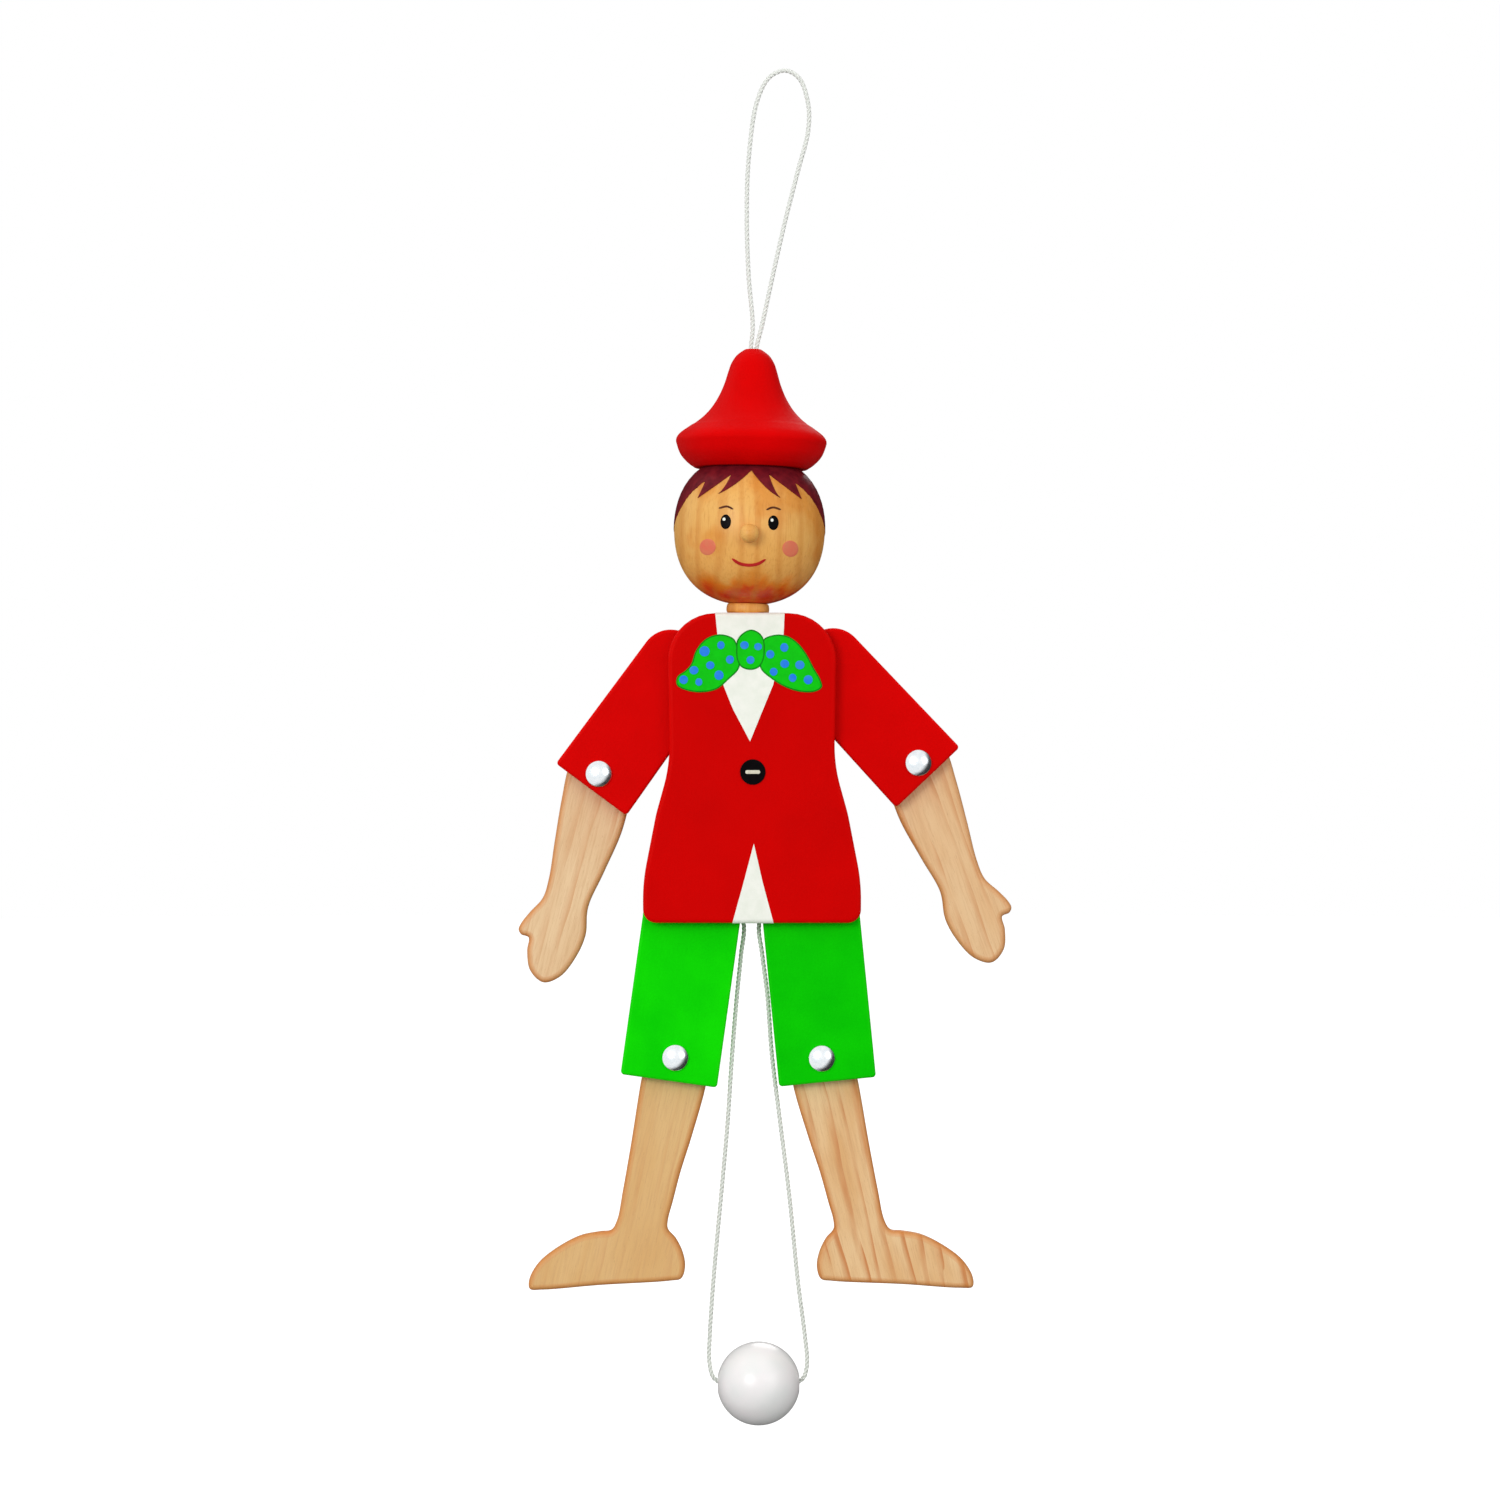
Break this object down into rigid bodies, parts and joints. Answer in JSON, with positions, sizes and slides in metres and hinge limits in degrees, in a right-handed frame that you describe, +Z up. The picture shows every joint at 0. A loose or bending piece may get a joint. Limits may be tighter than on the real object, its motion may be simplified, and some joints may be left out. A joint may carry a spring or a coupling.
{
  "type": "jumping jack puppet",
  "caption": "Flat wooden pull-string puppet with a turned head and cap, riveted limbs between two torso boards, a hanging loop and a pull cord with a bead.",
  "frame": {"origin": "underside of the crown of the hanging loop, where a hook holds it", "axes": "+Z up, figure faces -Y, +X to the viewer's right"},
  "size_m": [0.1311, 0.0451, 0.36],
  "materials": {
    "jacket_paint": "satin red paint on wood",
    "cap_paint": "satin bright red paint on turned wood",
    "trouser_paint": "satin green paint on wood",
    "varnished_wood": "clear gloss varnish",
    "bare_wood": "sanded light wood, clear matt varnish",
    "bead_lacquer": "gloss white lacquer on wood",
    "rivet_steel": "bright nickel plate",
    "nail_steel": "plain bright steel",
    "cord_cotton": "twisted off-white cotton"
  },
  "bodies": {
    "figure": {"torso_front": "jacket_paint", "torso_back": "bare_wood", "neck_block": "bare_wood", "neck_dowel": "varnished_wood", "head": "varnished_wood", "nose": "varnished_wood", "cap": "cap_paint", "hanging_cord": "cord_cotton", "hanging_knot": "cord_cotton", "left_waist_spacer": "bare_wood", "right_waist_spacer": "bare_wood", "left_shoulder_nail": "nail_steel", "right_shoulder_nail": "nail_steel", "left_hip_nail": "nail_steel", "right_hip_nail": "nail_steel"},
    "pull": {"pull_cord": "cord_cotton", "pull_bead": "bead_lacquer"},
    "left_arm": {"left_upper_arm": "jacket_paint", "left_elbow_rivet": "rivet_steel", "left_elbow_washer": "nail_steel", "left_shoulder_cord_pin": "nail_steel", "left_shoulder_knot": "cord_cotton"},
    "right_arm": {"right_upper_arm": "jacket_paint", "right_elbow_rivet": "rivet_steel", "right_elbow_washer": "nail_steel", "right_shoulder_cord_pin": "nail_steel", "right_shoulder_knot": "cord_cotton"},
    "left_leg": {"left_upper_leg": "trouser_paint", "left_knee_rivet": "rivet_steel", "left_knee_washer": "nail_steel", "left_hip_cord_pin": "nail_steel", "left_hip_knot": "cord_cotton"},
    "right_leg": {"right_upper_leg": "trouser_paint", "right_knee_rivet": "rivet_steel", "right_knee_washer": "nail_steel", "right_hip_cord_pin": "nail_steel", "right_hip_knot": "cord_cotton"},
    "left_hand": {"left_forearm": "bare_wood"},
    "right_hand": {"right_forearm": "bare_wood"},
    "left_foot": {"left_lower_leg": "bare_wood"},
    "right_foot": {"right_lower_leg": "bare_wood"}
  },
  "joints": [
    {"name": "bead_pull", "type": "slide", "parent": "figure", "child": "pull", "axis": [0, 0, -1], "range_m": [0, 0.009]},
    {"name": "left_shoulder", "type": "hinge", "parent": "figure", "child": "left_arm", "pos_m": [-0.02724, 0, -0.1561], "axis": [0, 1, 0], "range_deg": [0, 63.4]},
    {"name": "right_shoulder", "type": "hinge", "parent": "figure", "child": "right_arm", "pos_m": [0.00956, 0, -0.1561], "axis": [0, -1, 0], "range_deg": [0, 63.4]},
    {"name": "left_hip", "type": "hinge", "parent": "figure", "child": "left_leg", "pos_m": [-0.02384, 0, -0.2164], "axis": [0, 1, 0], "range_deg": [0, 60]},
    {"name": "right_hip", "type": "hinge", "parent": "figure", "child": "right_leg", "pos_m": [0.00616, 0, -0.2164], "axis": [0, -1, 0], "range_deg": [0, 60]},
    {"name": "left_elbow", "type": "hinge", "parent": "left_arm", "child": "left_hand", "pos_m": [-0.04937, 0, -0.186], "axis": [0, 1, 0], "range_deg": [-22, 120]},
    {"name": "right_elbow", "type": "hinge", "parent": "right_arm", "child": "right_hand", "pos_m": [0.03517, 0, -0.18308], "axis": [0, -1, 0], "range_deg": [-22, 120]},
    {"name": "left_knee", "type": "hinge", "parent": "left_leg", "child": "left_foot", "pos_m": [-0.02911, 0, -0.2611], "axis": [0, 1, 0], "range_deg": [-12, 42]},
    {"name": "right_knee", "type": "hinge", "parent": "right_leg", "child": "right_foot", "pos_m": [0.00963, 0, -0.26128], "axis": [0, -1, 0], "range_deg": [-12, 42]}
  ],
  "couplings": [
    {"joint": "left_shoulder", "follows": "bead_pull", "rad_per_m": 122.9},
    {"joint": "right_shoulder", "follows": "bead_pull", "rad_per_m": 122.9},
    {"joint": "left_hip", "follows": "bead_pull", "rad_per_m": 116.3},
    {"joint": "right_hip", "follows": "bead_pull", "rad_per_m": 116.3}
  ]
}
